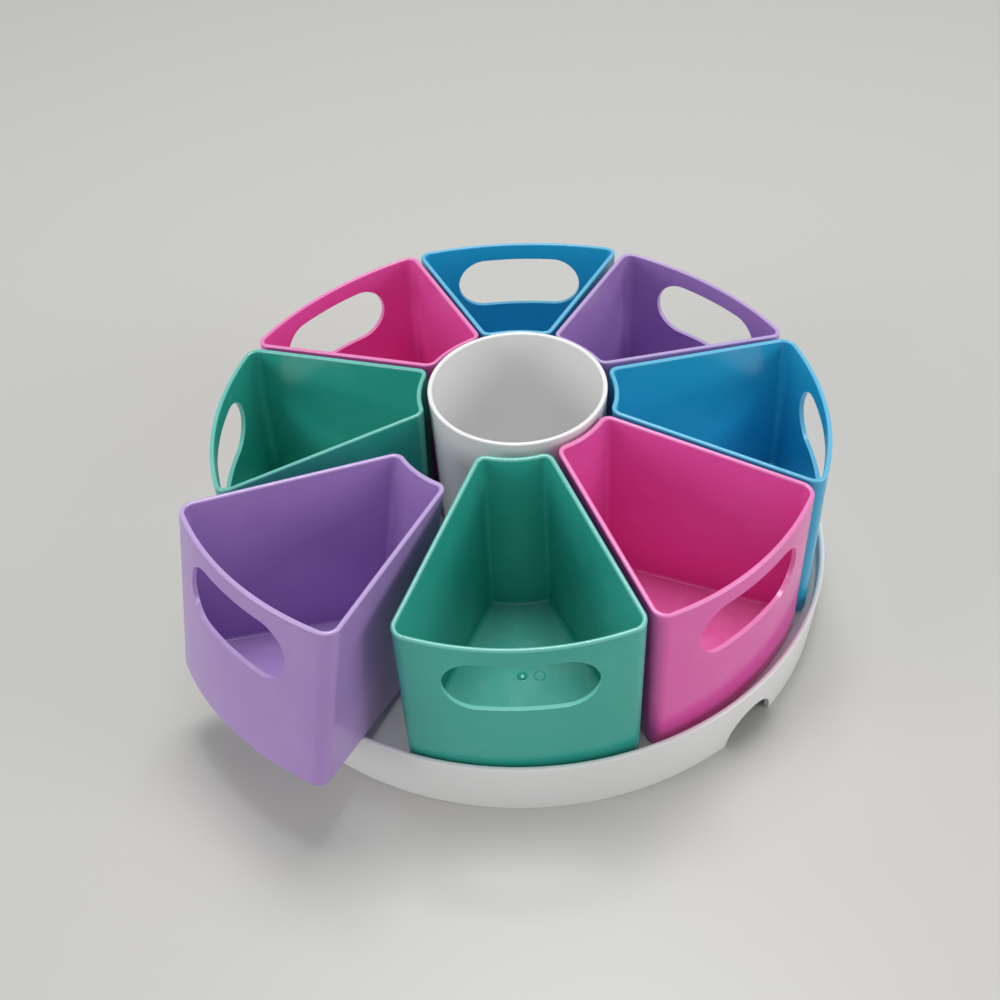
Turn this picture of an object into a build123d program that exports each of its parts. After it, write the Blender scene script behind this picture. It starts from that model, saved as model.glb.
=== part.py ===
from build123d import *

# Desk storage caddy: a round tray, a centre cup and eight wedge bins round it.
# Millimetres, +Z up. The origin is on the tray's axis, on the table that its skirt stands on.
# The front faces -Y. One bin is drawn out and leans on the tray's rim.

import os
from math import atan, degrees, radians, sin, sqrt, tan

# Tray
tray_rim_radius = 152.4       # outside of the rim, a 12 inch tray
tray_foot_radius = 150.0      # outside of the skirt on the table
tray_height = 31.7
tray_wall = 2.7
tray_inner_draft = 1.0        # degrees, inside of the rim
deck_height = 21.1            # top of the deck that the bins stand on
deck_thickness = 2.3
deck_corner_round = 1.2
rib_thickness = 1.8           # ribs under the deck
rib_depth = 7.0
hub_radius = 34.0             # ring rib under the cup
notch_width = 32.0            # finger notches in the skirt
notch_land = 1.2              # between a notch and the underside of the deck

# Cup
cup_rim_radius = 42.4
cup_height = 103.8
cup_draft = 1.7               # degrees
cup_wall = 2.2
cup_floor = 2.6
cup_floor_round = 4.0
cup_foot_round = 1.6

# Bins
tray_clearance = 3.3          # between a bin's outer wall and the tray's rim
cup_clearance = 2.1           # between a bin's inner wall and the cup's rim
bin_gap = 1.8                 # between the rims of two neighbours
bin_outer_height = 86.4       # rim above the deck, at the outer wall
bin_inner_height = 101.5      # rim above the deck, at the corners by the cup
bin_wall = 2.2
bin_floor = 2.4
bin_draft = 0.85              # degrees
bin_outer_corner = 7.0
bin_inner_corner = 5.5
bin_foot_round = 1.4
bin_floor_round = 1.6
rim_round_share = 0.42        # rounding of a rim's edges, as a share of its wall
slot_width = 67.0             # grip slot in the outer wall
slot_height = 29.4
slot_below_rim = 9.2
slot_edge_round = 0.7
nub_radius = 2.6              # gate nub on the floor
nub_height = 1.3
nub_from_axis = 94.0
mark_offset = 8.2             # round mould mark beside the nub
mark_radius = 2.9
mark_width = 0.6
mark_height = 0.3

# Stations counter-clockwise from the front. The bins stand loosely in the tray: how far each is
# out towards the rim is a share of tray_clearance, and its shift sideways and the swing of its
# ends are shares of bin_gap.
stations = (
    ("bin_front_green", 0.9, 0.0, 0.65),
    ("bin_front_right_pink", 0.0, -0.2, 0.45),
    ("bin_right_blue", 0.3, -0.55, 0.15),
    ("bin_back_right_purple", -0.25, 0.1, -0.3),
    ("bin_back_blue", 0.25, 0.5, 0.1),
    ("bin_back_left_pink", 0.2, -0.2, 0.15),
    ("bin_left_green", 0.3, -0.2, 0.0),
)
notch_stations = (1, 5)
drawn_name = "bin_front_left_purple"
drawn_out = 44.2              # how far the last bin is drawn out along its station
drawn_across = 6.4
drawn_turn = -1.0             # degrees
rest_gap = 0.3                # between the leaning bin and what carries it

bin_count = len(stations) + 1
half_station = 180.0 / bin_count
bin_outer_radius = tray_rim_radius - tray_wall - tray_clearance
bin_inner_radius = cup_rim_radius + cup_clearance
bin_middle = (bin_inner_radius + bin_outer_radius) / 2
deck_underside = deck_height - deck_thickness


def station_turn(i):
    """Turn from +X to station i, with station 0 at the front."""
    return Rot(0, 0, i * 2 * half_station - 90)


def tray():
    """Rim, deck and skirt in one turned profile, ribs under the deck, finger notches."""
    lean = (tray_rim_radius - tray_foot_radius) / tray_height
    rim_inside = tray_rim_radius - tray_wall
    skirt_inside = tray_foot_radius - tray_wall
    profile = Polygon(
        (0, deck_underside),
        (skirt_inside + lean * deck_underside, deck_underside),
        (skirt_inside, 0),
        (tray_foot_radius, 0),
        (tray_rim_radius, tray_height),
        (rim_inside, tray_height),
        (rim_inside - tan(radians(tray_inner_draft)) * (tray_height - deck_height), deck_height),
        (0, deck_height),
        align=None,
    )
    rim_top = profile.vertices().group_by(Axis.Y)[-1]
    profile = fillet(rim_top, tray_wall * rim_round_share)
    deck_corner = profile.vertices().filter_by(lambda v: abs(v.Y - deck_height) < 0.01 and v.X > 1)
    profile = fillet(deck_corner, deck_corner_round)
    body = revolve(Plane.XZ * profile, Axis.Z)

    rib_length = skirt_inside - hub_radius + tray_wall / 2
    rib_height = rib_depth + deck_thickness / 2
    under = deck_underside - rib_depth
    rise = (Align.MIN, Align.CENTER, Align.MIN)
    rib = Pos(hub_radius, 0, under) * Box(rib_length, rib_thickness, rib_height, align=rise)
    ribs = [Rot(0, 0, half_station * (2 * i + 1)) * rib for i in range(bin_count)]
    stand = (Align.CENTER, Align.CENTER, Align.MIN)
    hub = Cylinder(hub_radius + rib_thickness, rib_height, align=stand)
    hub -= Cylinder(hub_radius, rib_height, align=stand)
    body += [Pos(0, 0, under) * hub] + ribs

    arch = Plane.XZ * Ellipse(notch_width / 2, deck_underside - notch_land)
    cutter = Rot(0, 0, 90) * Pos(0, -tray_foot_radius, 0) * extrude(arch, tray_wall * 3, both=True)
    for i in notch_stations:
        body -= station_turn(i) * cutter
    return body


def cup():
    """Turned cup with a drafted wall, a rounded rim and a rounded floor corner."""
    slope = tan(radians(cup_draft))
    foot = cup_rim_radius - slope * cup_height
    profile = Polygon(
        (0, 0),
        (foot, 0),
        (cup_rim_radius, cup_height),
        (cup_rim_radius - cup_wall, cup_height),
        (foot - cup_wall + slope * cup_floor, cup_floor),
        (0, cup_floor),
        align=None,
    )
    rim = profile.vertices().group_by(Axis.Y)[-1]
    profile = fillet(rim, cup_wall * rim_round_share)
    heel = profile.vertices().filter_by(lambda v: v.Y < 0.01 and v.X > 1)
    profile = fillet(heel, cup_foot_round)
    corner = profile.vertices().filter_by(lambda v: abs(v.Y - cup_floor) < 0.01 and v.X > 1)
    profile = fillet(corner, cup_floor_round)
    return revolve(Plane.XZ * profile, Axis.Z)


def wedge_outline(inset):
    """Plan of a bin at its rim, drawn in by inset: two straight sides between two arcs."""
    reach = bin_outer_radius * 1.2
    apex = (bin_gap / 2 + inset) / sin(radians(half_station))
    spread = (reach - apex) * tan(radians(half_station))
    plan = Polygon((apex, 0), (reach, spread), (reach, -spread), align=None)
    plan &= Circle(bin_outer_radius - inset)
    plan -= Circle(bin_inner_radius + inset)
    plan = fillet(plan.vertices().filter_by(lambda v: v.X > bin_middle), bin_outer_corner - inset)
    inner = plan.vertices().sort_by(Axis.X)[:2]
    return fillet(inner, bin_inner_corner - inset)


def wedge_bin():
    """One bin at its station along +X, standing at Z 0: drafted shell, sloping rim, grip slot."""
    top = Plane.XY.offset(bin_inner_height)
    down = (0, 0, -1)
    shell = extrude(top * wedge_outline(0), bin_inner_height, dir=down, taper=bin_draft)
    depth = bin_inner_height - bin_floor
    room = extrude(top * wedge_outline(bin_wall), depth, dir=down, taper=bin_draft)
    tips = shell.bounding_box().min.X
    body = fillet(shell.faces().sort_by(Axis.Z)[0].edges(), bin_foot_round)
    body -= fillet(room.faces().sort_by(Axis.Z)[0].edges(), bin_floor_round)

    fall = atan((bin_inner_height - bin_outer_height) / (bin_outer_radius - tips))
    stock = 3 * bin_outer_radius
    rise = (Align.CENTER, Align.CENTER, Align.MIN)
    waste = Rot(0, degrees(fall), 0) * Box(stock, stock, bin_inner_height, align=rise)
    body -= Pos(tips, 0, bin_inner_height) * waste
    rim = body.faces().filter_by(lambda f: f.center().Z > bin_outer_height / 2)
    rim = rim.filter_by(lambda f: f.normal_at().Z > 0.8).sort_by(SortBy.AREA)[-1]
    body = fillet(rim.edges(), bin_wall * rim_round_share)

    slot_middle = bin_outer_height - slot_below_rim - slot_height / 2
    across = Plane.YZ.offset(bin_outer_radius - bin_wall * 5)
    slot = Pos(0, 0, slot_middle) * extrude(across * SlotOverall(slot_width, slot_height), bin_wall * 6)
    before = body.edges()
    body -= slot
    lips = (body.edges() - before).filter_by(lambda e: abs(e.center().Y) < slot_width / 2)
    body = fillet(lips, slot_edge_round)
    return body + floor_marks()


def floor_marks():
    """Gate nub in the middle of the floor and the round mould mark beside it."""
    ball = (nub_radius ** 2 + nub_height ** 2) / (2 * nub_height)
    nub = Pos(0, 0, nub_height - ball) * Sphere(ball) & Cylinder(nub_radius * 2, nub_height * 2)
    mark = Cylinder(mark_radius, mark_height * 2)
    mark -= Cylinder(mark_radius - mark_width, mark_height * 2)
    return [Pos(nub_from_axis, 0, bin_floor) * nub, Pos(nub_from_axis, mark_offset, bin_floor) * mark]


def standing(share_out, share_across, share_swing):
    """Place of a bin that stands in its station along +X with its bit of play."""
    swing = atan(share_swing * bin_gap / (bin_outer_radius - bin_middle))
    foot = Pos(bin_middle + share_out * tray_clearance, share_across * bin_gap, deck_height)
    return foot * Rot(0, 0, degrees(swing)) * Pos(-bin_middle, 0, 0)


def leaning(heel):
    """Place of the drawn-out bin: its heel on the deck, its underside on the tray's rim."""
    rim_inside = tray_rim_radius - tray_wall
    touch = rim_inside
    for _ in range(8):
        reach = (touch - drawn_out) * tan(radians(half_station)) + abs(drawn_across)
        touch = sqrt(rim_inside ** 2 - reach ** 2)
    tip = atan((tray_height - deck_height) / (touch - drawn_out - heel))
    foot = Pos(heel + drawn_out, drawn_across, deck_height + rest_gap)
    return foot * Rot(0, 0, drawn_turn) * Rot(0, -degrees(tip), 0) * Pos(-heel, 0, 0)


one_bin = wedge_bin()
underside = one_bin.faces().sort_by(Axis.Z)[0]
pieces = {"tray": tray(), "centre_cup": Pos(0, 0, deck_height) * cup()}
for i, (name, *play) in enumerate(stations):
    pieces[name] = station_turn(i) * standing(*play) * one_bin
pieces[drawn_name] = station_turn(bin_count - 1) * leaning(underside.bounding_box().min.X) * one_bin

os.makedirs("parts", exist_ok=True)
for name, piece in pieces.items():
    export_step(piece, f"parts/{name}.step")
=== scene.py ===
from math import asin, atan, cos, hypot, pi, radians, sin, sqrt, tan

import bmesh
import bpy
from mathutils import Matrix, Vector


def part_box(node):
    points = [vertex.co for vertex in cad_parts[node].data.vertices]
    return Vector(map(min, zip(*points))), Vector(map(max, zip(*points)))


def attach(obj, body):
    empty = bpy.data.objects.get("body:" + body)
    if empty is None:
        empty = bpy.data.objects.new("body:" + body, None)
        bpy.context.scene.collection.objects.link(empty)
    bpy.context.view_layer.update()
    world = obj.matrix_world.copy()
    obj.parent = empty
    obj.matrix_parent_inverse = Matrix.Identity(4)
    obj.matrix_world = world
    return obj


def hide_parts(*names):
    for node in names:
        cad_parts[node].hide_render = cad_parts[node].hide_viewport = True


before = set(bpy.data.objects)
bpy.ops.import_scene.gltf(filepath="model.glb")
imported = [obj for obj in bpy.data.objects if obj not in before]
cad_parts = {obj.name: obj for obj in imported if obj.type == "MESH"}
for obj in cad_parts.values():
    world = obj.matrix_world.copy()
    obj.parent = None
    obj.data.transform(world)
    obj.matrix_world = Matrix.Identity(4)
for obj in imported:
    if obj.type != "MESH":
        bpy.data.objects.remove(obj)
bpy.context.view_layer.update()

scene = bpy.context.scene

# Everything is in metres. The front of the caddy faces -Y and its tray stands on Z 0.

tray = {
    "rimRadius": 0.1524,
    "footRadius": 0.1500,
    "height": 0.0317,
    "wall": 0.0027,
    "innerDraft": 1.0,          # degrees
    "deck": 0.0211,             # top of the deck
    "deckThickness": 0.0023,
    "rimRound": 0.00113,
    "deckCornerRound": 0.0012,
    "footRound": 0.0005,
    "turns": 240,
    "ribs": 8,
    "ribThickness": 0.0018,
    "ribDepth": 0.0070,
    "hubRadius": 0.0340,        # inside of the ring rib
    "hubTurns": 96,
    "notchWidth": 0.0320,
    "notchLand": 0.0012,        # between a notch and the deck's underside
    "notchAngles": (-45, 135),
    "notchRound": 0.0004,
    "notchSides": 64,
    "notchReach": 3,            # of its cutter to either side of the foot's radius, in walls
}

cup = {
    "rimRadius": 0.0424,
    "height": 0.1038,
    "draft": 1.7,               # degrees
    "wall": 0.0022,
    "floor": 0.0026,
    "rimRound": 0.00092,
    "footRound": 0.0016,
    "floorRound": 0.0040,
    "turns": 144,
}

wedge = {
    "trayClearance": 0.0033,    # from the outer wall to the tray's rim
    "cupClearance": 0.0021,     # from the inner wall to the cup's rim
    "gap": 0.0018,              # between the rims of two neighbours
    "outerHeight": 0.0864,
    "innerHeight": 0.1015,
    "wall": 0.0022,
    "floor": 0.0024,
    "floorHeight": 0.0083,      # top of the floor, over a hollow foot
    "draft": 0.85,              # degrees
    "outerCorner": 0.0070,
    "innerCorner": 0.0055,
    "rimRound": 0.00092,
    "footRound": 0.0014,
    "floorRound": 0.0016,
    "slotWidth": 0.0670,
    "slotHeight": 0.0294,
    "slotBelowRim": 0.0092,
    "slotRound": 0.0007,
    "cutterInset": 5,           # of the slot's cutter from the outer radius, in walls
    "cutterLength": 6,          # in walls
    "nubRadius": 0.0026,
    "nubHeight": 0.0013,
    "nubFromAxis": 0.0940,
    "nubSides": (32, 16),
    "markOffset": 0.0082,
    "markRadius": 0.0029,
    "markWidth": 0.0006,
    "markHeight": 0.0003,
    "markTurns": 48,
}

# Each bin: its colour, its station counted from the front, and its play in the tray, as shares
# of the clearance outwards and of the gap sideways and at its ends
stored = {
    "bin_front_green": ("green", 0, 0.9, 0.0, 0.65),
    "bin_front_right_pink": ("pink", 1, 0.0, -0.2, 0.45),
    "bin_right_blue": ("blue", 2, 0.3, -0.55, 0.15),
    "bin_back_right_purple": ("purple", 3, -0.25, 0.1, -0.3),
    "bin_back_blue": ("blue", 4, 0.25, 0.5, 0.1),
    "bin_back_left_pink": ("pink", 5, 0.2, -0.2, 0.15),
    "bin_left_green": ("green", 6, 0.3, -0.2, 0.0),
}
drawn = {
    "node": "bin_front_left_purple",
    "colour": "purple",
    "station": 7,
    "out": 0.0442,
    "across": 0.0064,
    "turn": -1.0,               # degrees
    "restGap": 0.0003,
    "passes": 8,                # to find where its underside meets the tray's rim
}

# Steps along each arc and across each rounding, and how close counts as the same
arcSteps = {"outerCorner": 10, "innerCorner": 8, "inner": 16, "outer": 44, "slotEnd": 24}
roundSteps = {"turned": 5, "wedge": 4, "slot": 3, "notch": 2}
weld = 1e-6
slotWeld = 1e-5
cutWeld = 2e-5
sameLevel = 1e-7
rimTrim = 2e-5                  # the rim is cut this far under the bin's full height
normalWeight = 80               # of large faces in the smooth shading

halfStation = radians(22.5)
rimInside = tray["rimRadius"] - tray["wall"]
outerRadius = rimInside - wedge["trayClearance"]
innerRadius = cup["rimRadius"] + wedge["cupClearance"]
wedgeSlope = tan(radians(wedge["draft"]))
slotRadius = wedge["slotHeight"] / 2
slotLevel = wedge["outerHeight"] - wedge["slotBelowRim"] - slotRadius
slotReach = wedge["slotWidth"] / 2 - slotRadius     # from the middle to the centre of either end


# Shared mesh steps

def meshObject(name, bm):
    mesh = bpy.data.meshes.new(name)
    bm.to_mesh(mesh)
    bm.free()
    made = bpy.data.objects.new(name, mesh)
    scene.collection.objects.link(made)
    return made


def vertsIn(geom):
    return [g for g in geom if isinstance(g, bmesh.types.BMVert)]


def roundOff(bm, geom, radius, steps, affect="EDGES"):
    bmesh.ops.bevel(bm, geom=geom, affect=affect, offset=radius, segments=steps, profile=0.5,
                    material=-1, clamp_overlap=affect == "EDGES")


def cutOrJoin(target, tool, operation):
    step = target.modifiers.new("step", "BOOLEAN")
    step.object = tool
    step.operation = operation
    step.solver = "EXACT"
    graph = bpy.context.evaluated_depsgraph_get()
    result = bpy.data.meshes.new_from_object(target.evaluated_get(graph))
    target.modifiers.clear()
    target.data = result
    bpy.data.objects.remove(tool)


def turned(name, profile, rounds, turns, place=(0, 0, 0)):
    # closed section in the XZ plane, its corners rounded, turned about Z and put in its place
    bm = bmesh.new()
    verts = [bm.verts.new((x, 0, z)) for x, z in profile]
    bm.faces.new(verts)
    for corner, radius in rounds:
        roundOff(bm, [verts[corner]], radius, roundSteps["turned"], "VERTICES")
    bmesh.ops.delete(bm, geom=bm.faces[:], context="FACES_ONLY")
    onAxis = [e for e in bm.edges if max(abs(v.co.x) for v in e.verts) < weld]
    bmesh.ops.delete(bm, geom=onAxis, context="EDGES")
    wire = bm.verts[:] + bm.edges[:]
    bmesh.ops.spin(bm, geom=wire, cent=(0, 0, 0), axis=(0, 0, 1), angle=2 * pi, steps=turns,
                   use_merge=True)
    bmesh.ops.remove_doubles(bm, verts=bm.verts[:], dist=weld)
    bmesh.ops.recalc_face_normals(bm, faces=bm.faces[:])
    bmesh.ops.translate(bm, verts=bm.verts[:], vec=place)
    return meshObject(name, bm)


def markSides(piece, side):
    # material 0 on a piece and 1 on its cutter, so that the cut's faces are known afterwards
    piece.data.materials.clear()
    for name in ("kept", "cut"):
        piece.data.materials.append(bpy.data.materials.get(name) or bpy.data.materials.new(name))
    for face in piece.data.polygons:
        face.material_index = side


def cutRounded(piece, cutter, radius, steps):
    # cuts, then rounds the edges between the cut's own faces and the rest
    markSides(piece, 0)
    markSides(cutter, 1)
    cutOrJoin(piece, cutter, "DIFFERENCE")
    bm = bmesh.new()
    bm.from_mesh(piece.data)
    bmesh.ops.remove_doubles(bm, verts=bm.verts[:], dist=cutWeld)
    lips = [e for e in bm.edges if len({f.material_index for f in e.link_faces}) > 1]
    roundOff(bm, lips, radius, steps)
    for f in bm.faces:
        f.material_index = 0
    bm.to_mesh(piece.data)
    bm.free()


def corners(piece):
    points = [v.co for v in piece.data.vertices]
    return [pick(p[i] for p in points) for pick in (min, max) for i in range(3)]


def finishPiece(piece, finishes, body, slot, *nodes):
    # one finish for each material number that the faces carry; a lone finish takes them all
    sides = [min(face.material_index, len(finishes) - 1) for face in piece.data.polygons]
    piece.data.materials.clear()
    for finish in finishes:
        piece.data.materials.append(finish)
    for face, side in zip(piece.data.polygons, sides):
        face.use_smooth = True
        face.material_index = side
    weighted = piece.modifiers.new("weightedNormals", "WEIGHTED_NORMAL")
    weighted.mode = "FACE_AREA"
    weighted.weight = normalWeight
    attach(piece, body)
    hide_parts(*nodes)


# Moulded plastic

# Scale per metre, detail and roughness of the noise, and for a cloud also the part of the
# noise's range that is stretched out
grainNoise = (2600, 2, 0.6)
clouds = {
    "drift": (14, 3, 0.5, 0.35, 0.65),
    "scuff": (60, 3, 0.6, 0.5, 0.85),
    "gloss": (12, 2, 0.5, 0.3, 0.7),
}
skin = {
    "scuff": 0.1,
    "glossSpread": (-0.02, 0.03),
    "grain": 0.08,
    "grainHeight": 0.0001,
    "ior": 1.59,                # polystyrene
}


def noise(tree, place, scale, detail, roughness):
    made = tree.nodes.new("ShaderNodeTexNoise")
    for name, value in (("Scale", scale), ("Detail", detail), ("Roughness", roughness)):
        made.inputs[name].default_value = value
    tree.links.new(place, made.inputs["Vector"])
    return made.outputs["Fac"]


def cloud(tree, place, kind, low, high):
    *settings, fromMin, fromMax = clouds[kind]
    source = noise(tree, place, *settings)
    made = tree.nodes.new("ShaderNodeMapRange")
    for name, value in (("From Min", fromMin), ("From Max", fromMax), ("To Min", low),
                        ("To Max", high)):
        made.inputs[name].default_value = value
    tree.links.new(source, made.inputs["Value"])
    return made.outputs["Result"]


def mixColour(tree, factor, a, b):
    # each of the three is a value or another node's output; sockets 6 and 7 and output 2 are the
    # node's colour ones
    made = tree.nodes.new("ShaderNodeMix")
    made.data_type = "RGBA"
    sockets = (made.inputs["Factor"], made.inputs[6], made.inputs[7])
    for socket, value in zip(sockets, (factor, a, b)):
        if isinstance(value, bpy.types.NodeSocket):
            tree.links.new(value, socket)
        else:
            socket.default_value = value
    return made.outputs[2]


def mouldedPlastic(name, look, paintedLight=0, scuffs=0):
    material = bpy.data.materials.new(name)
    material.use_nodes = True
    tree = material.node_tree
    shader = tree.nodes["Principled BSDF"]
    place = tree.nodes.new("ShaderNodeTexCoord").outputs["Object"]
    # slow drift of the pigment, and the faint blush of handling
    drift = cloud(tree, place, "drift", 0, 1)
    base = mixColour(tree, drift, look["colour"], look["drift"])
    scuff = cloud(tree, place, "scuff", 0, skin["scuff"] + scuffs)
    base = mixColour(tree, scuff, base, look["pale"])
    # painted highlight on the edges and painted light on the floors: an even share of the pale
    # colour mixed in
    if paintedLight:
        base = mixColour(tree, paintedLight, base, look["pale"])
    tree.links.new(base, shader.inputs["Base Color"])
    # satin skin: a gloss that drifts a little, over a fine grain
    low, high = (look["roughness"] + change for change in skin["glossSpread"])
    tree.links.new(cloud(tree, place, "gloss", low, high), shader.inputs["Roughness"])
    grain = noise(tree, place, *grainNoise)
    bump = tree.nodes.new("ShaderNodeBump")
    bump.inputs["Strength"].default_value = skin["grain"]
    bump.inputs["Distance"].default_value = skin["grainHeight"]
    tree.links.new(grain, bump.inputs["Height"])
    tree.links.new(bump.outputs["Normal"], shader.inputs["Normal"])
    shader.inputs["IOR"].default_value = skin["ior"]
    return material


def srgb(*levels):
    # levels of 255 to the linear colour that a socket takes
    linear = [((v / 255 + 0.055) / 1.055) ** 2.4 if v > 10 else v / 255 / 12.92 for v in levels]
    return (*linear, 1)


looks = {
    "green": {"colour": srgb(54, 176, 161), "drift": srgb(50, 171, 156),
              "pale": srgb(150, 214, 204), "roughness": 0.2},
    "pink": {"colour": srgb(238, 96, 184), "drift": srgb(234, 92, 179),
             "pale": srgb(240, 170, 208), "roughness": 0.2},
    "blue": {"colour": srgb(44, 176, 217), "drift": srgb(41, 171, 212),
             "pale": srgb(140, 206, 236), "roughness": 0.2},
    "purple": {"colour": srgb(174, 139, 205), "drift": srgb(169, 134, 201),
               "pale": srgb(212, 194, 232), "roughness": 0.2},
    "white": {"colour": srgb(240, 240, 239), "drift": srgb(237, 237, 237),
              "pale": srgb(244, 244, 244), "roughness": 0.24},
}
# painted highlight: the rims and the slot's lips are painted paler; painted light makes the flat
# of the floors paler too, and the floors carry more scuffs
edgePaintedHighlight = 0.42
floorLightAndScuffs = {"paintedLight": 0.22, "scuffs": 0.35}
materials = {name: (mouldedPlastic(name + "Plastic", look),
                    mouldedPlastic(name + "Edge", look, edgePaintedHighlight),
                    mouldedPlastic(name + "Floor", look, floorLightAndScuffs["paintedLight"], floorLightAndScuffs["scuffs"]))
             for name, look in looks.items()}
print("materials made", sorted(materials))


# Tray: a turned section with ribs under its deck and two finger notches

def trayRibs(under, skirtInside):
    # straight ribs and the ring rib; the straight ones start inside the ring's wall, so that no
    # two faces coincide, and run into the skirt's wall for most of their depth
    top = under + tray["deckThickness"] / 2
    low = under - tray["ribDepth"]
    inner = tray["hubRadius"] + tray["ribThickness"] / 2
    length = skirtInside - inner + tray["wall"] / 2
    bm = bmesh.new()
    for i in range(tray["ribs"]):
        rib = bmesh.ops.create_cube(bm, size=1)["verts"]
        bmesh.ops.scale(bm, verts=rib, vec=(length, tray["ribThickness"], top - low))
        bmesh.ops.translate(bm, verts=rib, vec=(inner + length / 2, 0, (top + low) / 2))
        bmesh.ops.rotate(bm, verts=rib, matrix=Matrix.Rotation(halfStation * (2 * i + 1), 3, "Z"))
    outside = tray["hubRadius"] + tray["ribThickness"]
    ring = [(tray["hubRadius"], low), (outside, low), (outside, top), (tray["hubRadius"], top)]
    return meshObject("ribs", bm), turned("ring", ring, [], tray["hubTurns"])


def notchCutter(under):
    # each arch is made facing -Y, at -90 degrees, and then turned to its place
    reach = tray["wall"] * tray["notchReach"]
    bm = bmesh.new()
    for angle in tray["notchAngles"]:
        disc = bmesh.ops.create_circle(bm, segments=tray["notchSides"], radius=1, cap_ends=True)
        near = disc["verts"]
        bmesh.ops.scale(bm, verts=near, vec=(tray["notchWidth"] / 2, under - tray["notchLand"], 1))
        bmesh.ops.rotate(bm, verts=near, matrix=Matrix.Rotation(pi / 2, 3, "X"))
        bmesh.ops.translate(bm, verts=near, vec=(0, reach - tray["footRadius"], 0))
        face = near[0].link_faces[0]
        far = vertsIn(bmesh.ops.extrude_face_region(bm, geom=[face])["geom"])
        bmesh.ops.translate(bm, verts=far, vec=(0, -2 * reach, 0))
        turn = Matrix.Rotation(radians(angle + 90), 3, "Z")
        bmesh.ops.rotate(bm, verts=near + far, matrix=turn)
    bmesh.ops.recalc_face_normals(bm, faces=bm.faces[:])
    return meshObject("notches", bm)


def makeTray():
    lean = (tray["rimRadius"] - tray["footRadius"]) / tray["height"]
    under = tray["deck"] - tray["deckThickness"]
    skirtInside = tray["footRadius"] - tray["wall"]
    deckEdge = rimInside - tan(radians(tray["innerDraft"])) * (tray["height"] - tray["deck"])
    section = [
        (0, under),
        (skirtInside + lean * under, under),
        (skirtInside, 0),
        (tray["footRadius"], 0),
        (tray["rimRadius"], tray["height"]),
        (rimInside, tray["height"]),
        (deckEdge, tray["deck"]),
        (0, tray["deck"]),
    ]
    rounds = [(2, tray["footRound"]), (3, tray["footRound"]), (4, tray["rimRound"]),
              (5, tray["rimRound"]), (6, tray["deckCornerRound"])]
    piece = turned("tray_moulding", section, rounds, tray["turns"])
    for rib in trayRibs(under, skirtInside):
        cutOrJoin(piece, rib, "UNION")
    cutRounded(piece, notchCutter(under), tray["notchRound"], roundSteps["notch"])
    return piece


trayPiece = makeTray()
finishPiece(trayPiece, materials["white"][:1], "tray", "tray_grey", "tray")
print("tray made", len(trayPiece.data.polygons), "faces")


# Cup: a turned section with a rounded rim, foot and floor corner

def makeCup():
    slope = tan(radians(cup["draft"]))
    foot = cup["rimRadius"] - slope * cup["height"]
    section = [
        (0, 0),
        (foot, 0),
        (cup["rimRadius"], cup["height"]),
        (cup["rimRadius"] - cup["wall"], cup["height"]),
        (foot - cup["wall"] + slope * cup["floor"], cup["floor"]),
        (0, cup["floor"]),
    ]
    rounds = [(1, cup["footRound"]), (2, cup["rimRound"]), (3, cup["rimRound"]),
              (4, cup["floorRound"])]
    return turned("cup_moulding", section, rounds, cup["turns"], (0, 0, tray["deck"]))


cupPiece = makeCup()
finishPiece(cupPiece, materials["white"][:1], "centre_cup", "cup_grey", "centre_cup")
print("cup made", len(cupPiece.data.polygons), "faces")


# Bins: a drafted wedge shell cut off along its sloping rim, with a grip slot

def cornerCentre(wallRadius, side, corner):
    # of a rounded corner of the plan: side is 1 at the outer wall and -1 at the inner one
    radius = wallRadius - side * corner
    turn = halfStation - asin((wedge["gap"] / 2 + corner) / radius)
    return turn, Vector((radius * cos(turn), radius * sin(turn), 0))


outerTurn, outerCentre = cornerCentre(outerRadius, 1, wedge["outerCorner"])
innerTurn, innerCentre = cornerCentre(innerRadius, -1, wedge["innerCorner"])
innerTip = innerCentre.x - wedge["innerCorner"]
mirror = Vector((1, -1, 1))


def wedgeLoop(bm, inset, height):
    # plan of the bin drawn in by inset: six arcs spun one after the other and two straight sides
    before = set(bm.edges)
    side = Vector((cos(halfStation + pi / 2), sin(halfStation + pi / 2), 0))
    up = Vector((0, 0, height))
    outerCorner = wedge["outerCorner"] - inset
    innerCorner = wedge["innerCorner"] - inset
    outerAngle = halfStation + pi / 2 - outerTurn
    innerAngle = pi / 2 + innerTurn - halfStation

    def spin(start, centre, angle, arc):
        last = bmesh.ops.spin(bm, geom=[start], cent=centre, axis=(0, 0, 1), angle=angle,
                              steps=arcSteps[arc])
        return vertsIn(last["geom_last"])[0]

    def straight(start, end):
        vert = bm.verts.new(end)
        bm.edges.new((start, vert))
        return vert

    outward = Vector((cos(outerTurn), sin(outerTurn), 0))
    at = bm.verts.new(outerCentre + outward * outerCorner + up)
    at = spin(at, outerCentre, outerAngle, "outerCorner")
    at = straight(at, innerCentre + side * innerCorner + up)
    at = spin(at, innerCentre, innerAngle, "innerCorner")
    at = spin(at, (0, 0, 0), -2 * innerTurn, "inner")
    at = spin(at, innerCentre * mirror, innerAngle, "innerCorner")
    at = straight(at, (outerCentre + side * outerCorner) * mirror + up)
    at = spin(at, outerCentre * mirror, outerAngle, "outerCorner")
    spin(at, (0, 0, 0), 2 * outerTurn, "outer")
    level = [v for v in bm.verts if abs(v.co.z - height) < sameLevel]
    bmesh.ops.remove_doubles(bm, verts=level, dist=weld)
    return [e for e in bm.edges if e not in before]


def rimPlane():
    fall = atan((wedge["innerHeight"] - wedge["outerHeight"]) / (outerRadius - innerTip))
    return Vector((innerTip, 0, wedge["innerHeight"] - rimTrim)), Vector((sin(fall), 0, cos(fall)))


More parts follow.
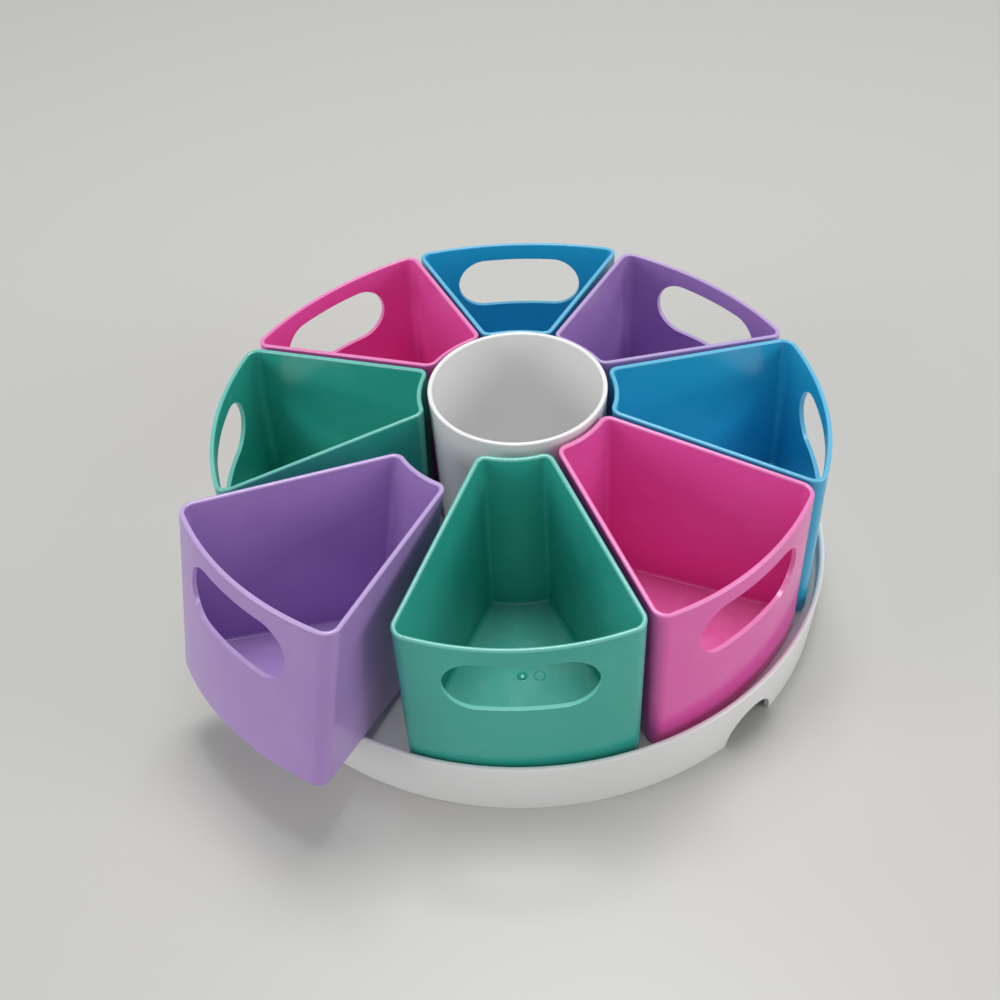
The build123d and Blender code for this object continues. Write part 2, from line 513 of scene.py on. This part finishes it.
def wedgeShell(bm, foot, footInset, topInset, footRound):
    # drafted wall from the foot's loop up, closed at the foot, and cut off along the sloping rim
    before = set(bm.verts[:] + bm.edges[:] + bm.faces[:])
    footLoop = wedgeLoop(bm, footInset, foot)
    topLoop = wedgeLoop(bm, topInset, wedge["innerHeight"])
    bmesh.ops.bridge_loops(bm, edges=footLoop + topLoop)
    bmesh.ops.contextual_create(bm, geom=footLoop)
    roundOff(bm, footLoop, footRound, roundSteps["wedge"])
    made = [g for g in bm.verts[:] + bm.edges[:] + bm.faces[:] if g not in before]
    point, normal = rimPlane()
    bmesh.ops.bisect_plane(bm, geom=made, dist=weld, plane_co=point, plane_no=normal,
                           clear_outer=True)
    return [e for e in bm.edges if e.is_boundary and e not in before]


def joinRim(bm, outside, inside):
    # bridges the two walls: the inner loop is moved down for it, so that both loops turn alike
    down = rimPlane()[1] * -wedge["wall"]
    verts = list({v for e in inside for v in e.verts})
    bmesh.ops.translate(bm, verts=verts, vec=down)
    bmesh.ops.bridge_loops(bm, edges=outside + inside)
    bmesh.ops.translate(bm, verts=verts, vec=-down)
    bmesh.ops.recalc_face_normals(bm, faces=bm.faces[:])
    roundOff(bm, outside + inside, wedge["rimRound"], roundSteps["wedge"])


def slotCutter():
    end = Vector((outerRadius - wedge["wall"] * wedge["cutterInset"], slotReach, slotLevel))
    bm = bmesh.new()
    first = bm.verts.new(end - Vector((0, 0, slotRadius)))
    for centre, step in ((end, -2 * end.y), (end * mirror, 2 * end.y)):
        arc = bmesh.ops.spin(bm, geom=[first], cent=centre, axis=(1, 0, 0), angle=pi,
                             steps=arcSteps["slotEnd"])
        last = vertsIn(arc["geom_last"])[0]
        first = bm.verts.new(last.co + Vector((0, step, 0)))
        bm.edges.new((last, first))
    bmesh.ops.remove_doubles(bm, verts=bm.verts[:], dist=slotWeld)
    bmesh.ops.contextual_create(bm, geom=bm.edges[:])
    far = vertsIn(bmesh.ops.extrude_face_region(bm, geom=bm.faces[:])["geom"])
    bmesh.ops.translate(bm, verts=far, vec=(wedge["wall"] * wedge["cutterLength"], 0, 0))
    bmesh.ops.recalc_face_normals(bm, faces=bm.faces[:])
    return meshObject("slot", bm)


def floorMarks():
    # gate nub, a low dome, and the thin round mark beside it
    around, over = wedge["nubSides"]
    bm = bmesh.new()
    nub = bmesh.ops.create_uvsphere(bm, u_segments=around, v_segments=over,
                                    radius=wedge["nubRadius"])["verts"]
    bmesh.ops.scale(bm, verts=nub, vec=(1, 1, wedge["nubHeight"] / wedge["nubRadius"]))
    bmesh.ops.translate(bm, verts=nub, vec=(wedge["nubFromAxis"], 0, wedge["floorHeight"]))
    inside, outside = wedge["markRadius"] - wedge["markWidth"], wedge["markRadius"]
    high, low = wedge["markHeight"], -wedge["markHeight"]
    section = [(inside, low), (outside, low), (outside, high), (inside, high)]
    place = (wedge["nubFromAxis"], wedge["markOffset"], wedge["floorHeight"])
    return meshObject("nub", bm), turned("mark", section, [], wedge["markTurns"], place)


def hollowFoot():
    # the room under the floor
    high = wedge["floorHeight"] - wedge["floor"]
    inset = wedge["wall"] + (wedge["innerHeight"] - high) * wedgeSlope
    bm = bmesh.new()
    loops = wedgeLoop(bm, inset, -high) + wedgeLoop(bm, inset, high)
    bmesh.ops.bridge_loops(bm, edges=loops)
    bmesh.ops.holes_fill(bm, edges=loops, sides=0)
    bmesh.ops.recalc_face_normals(bm, faces=bm.faces[:])
    return meshObject("foot", bm)


# How far in from the outer radius a slot's lips can lie, in walls, and how far off the slot's
# outline, in roundings; and how far off its height and off level the floor's flat can be
lipDepth = 3
lipSlack = 1.1
floorSlack = 1e-4
floorNormal = 0.99


def markFinishes(piece):
    # 1 for the rim's face and roundings and for the slot's lips, which take the painted highlight,
    # 2 for the flat of the floor, which takes painted light and more scuffs
    point, normal = rimPlane()
    for face in piece.data.polygons:
        x, y, z = face.center
        fromSlot = abs(hypot(max(abs(y) - slotReach, 0), z - slotLevel) - slotRadius)
        lip = (x > outerRadius - lipDepth * wedge["wall"]
               and fromSlot < wedge["slotRound"] * lipSlack)
        rim = (face.center - point).dot(normal) > -wedge["rimRound"]
        flat = abs(z - wedge["floorHeight"]) < floorSlack and face.normal.z > floorNormal
        face.material_index = 1 if lip or rim else 2 if flat else 0


def makeBin():
    height = wedge["innerHeight"]
    floorInset = wedge["wall"] + (height - wedge["floorHeight"]) * wedgeSlope
    bm = bmesh.new()
    outside = wedgeShell(bm, 0, height * wedgeSlope, 0, wedge["footRound"])
    inside = wedgeShell(bm, wedge["floorHeight"], floorInset, wedge["wall"], wedge["floorRound"])
    joinRim(bm, outside, inside)
    shell = meshObject("bin", bm)
    cutOrJoin(shell, hollowFoot(), "DIFFERENCE")
    cutRounded(shell, slotCutter(), wedge["slotRound"], roundSteps["slot"])
    for mark in floorMarks():
        cutOrJoin(shell, mark, "UNION")
    markFinishes(shell)
    return shell


def stationTurn(i):
    return Matrix.Rotation(2 * halfStation * i - pi / 2, 4, "Z")


def standing(station, out, across, swing):
    middle = (innerRadius + outerRadius) / 2
    turn = atan(swing * wedge["gap"] / (outerRadius - middle))
    foot = Vector((middle + out * wedge["trayClearance"], across * wedge["gap"], tray["deck"]))
    return (stationTurn(station) @ Matrix.Translation(foot) @ Matrix.Rotation(turn, 4, "Z")
            @ Matrix.Translation((-middle, 0, 0)))


def leaning():
    # heel on the deck, underside on the tray's rim
    shrink = wedge["innerHeight"] * wedgeSlope
    heel = innerCentre.x - (wedge["innerCorner"] - shrink - wedge["footRound"])
    touch = rimInside
    for _ in range(drawn["passes"]):
        reach = (touch - drawn["out"]) * tan(halfStation) + drawn["across"]
        touch = sqrt(rimInside ** 2 - reach ** 2)
    tip = atan((tray["height"] - tray["deck"]) / (touch - drawn["out"] - heel))
    foot = Vector((heel + drawn["out"], drawn["across"], tray["deck"] + drawn["restGap"]))
    return (stationTurn(drawn["station"]) @ Matrix.Translation(foot)
            @ Matrix.Rotation(radians(drawn["turn"]), 4, "Z") @ Matrix.Rotation(-tip, 4, "Y")
            @ Matrix.Translation((-heel, 0, 0)))


pattern = makeBin()
places = {node: (colour, standing(*play)) for node, (colour, *play) in stored.items()}
places[drawn["node"]] = (drawn["colour"], leaning())
for node, (colour, place) in places.items():
    mesh = pattern.data.copy()
    mesh.transform(place)
    piece = bpy.data.objects.new(node + "_moulding", mesh)
    scene.collection.objects.link(piece)
    finishPiece(piece, materials[colour], node, colour, node)
    low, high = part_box(node)
    off = max(abs(a - b) for a, b in zip((*low, *high), corners(piece)))
    print(node, "made,", len(mesh.polygons), "faces, off the frame's box by",
          round(off * 1000, 2), "mm")
bpy.data.objects.remove(pattern)


# Table, light and camera

floor = {"size": 6.0, "colour": srgb(200, 199, 195), "roughness": 0.4}
bm = bmesh.new()
bmesh.ops.create_grid(bm, x_segments=1, y_segments=1, size=floor["size"])
table = meshObject("table", bm)
tableTop = bpy.data.materials.new("tableTop")
tableTop.use_nodes = True
tableSockets = tableTop.node_tree.nodes["Principled BSDF"].inputs
tableSockets["Base Color"].default_value = floor["colour"]
tableSockets["Roughness"].default_value = floor["roughness"]
table.data.materials.append(tableTop)

aimedAt = Vector((0, 0, 0.05))
lamps = {
    "overhead": {"place": (0.05, 0.35, 1.7), "size": 0.7, "watts": 16},
    "left": {"place": (-2.4, -1.1, 1.0), "size": 1.3, "watts": 22},
    "right": {"place": (2.4, -0.8, 1.0), "size": 1.3, "watts": 21},
}
for name, lamp in lamps.items():
    light = bpy.data.lights.new(name, "AREA")
    light.size = lamp["size"]
    light.energy = lamp["watts"]
    holder = bpy.data.objects.new(name, light)
    scene.collection.objects.link(holder)
    holder.location = lamp["place"]
    holder.rotation_euler = (aimedAt - holder.location).to_track_quat("-Z", "Y").to_euler()

room = {"colour": (0.93, 0.94, 0.95, 1), "strength": 0.44}
world = bpy.data.worlds.new("room")
world.use_nodes = True
roomSockets = world.node_tree.nodes["Background"].inputs
roomSockets["Color"].default_value = room["colour"]
roomSockets["Strength"].default_value = room["strength"]
scene.world = world

shot = {
    "target": (-0.01051, -0.00938, 0.06),
    "distance": 0.71745,
    "azimuth": 2.915,           # degrees, like the elevation and the roll
    "elevation": 43.267,
    "roll": -3.044,
    "lens": 52.07,              # millimetres, like the sensor's width
    "sensor": 36,
}
azimuth, elevation, roll = (radians(shot[k]) for k in ("azimuth", "elevation", "roll"))
back = Vector((sin(azimuth) * cos(elevation), -cos(azimuth) * cos(elevation), sin(elevation)))
right = Vector((0, 0, 1)).cross(back).normalized()
up = back.cross(right)
turnedRight = cos(roll) * right + sin(roll) * up
turnedUp = cos(roll) * up - sin(roll) * right
camera = bpy.data.objects.new("camera", bpy.data.cameras.new("camera"))
scene.collection.objects.link(camera)
camera.data.lens = shot["lens"]
camera.data.sensor_width = shot["sensor"]
camera.matrix_world = (Matrix.Translation(Vector(shot["target"]) + back * shot["distance"])
                       @ Matrix((turnedRight, turnedUp, back)).transposed().to_4x4())
scene.camera = camera
scene.view_settings.view_transform = "Standard"
print("camera at", [round(x, 4) for x in camera.matrix_world.translation])
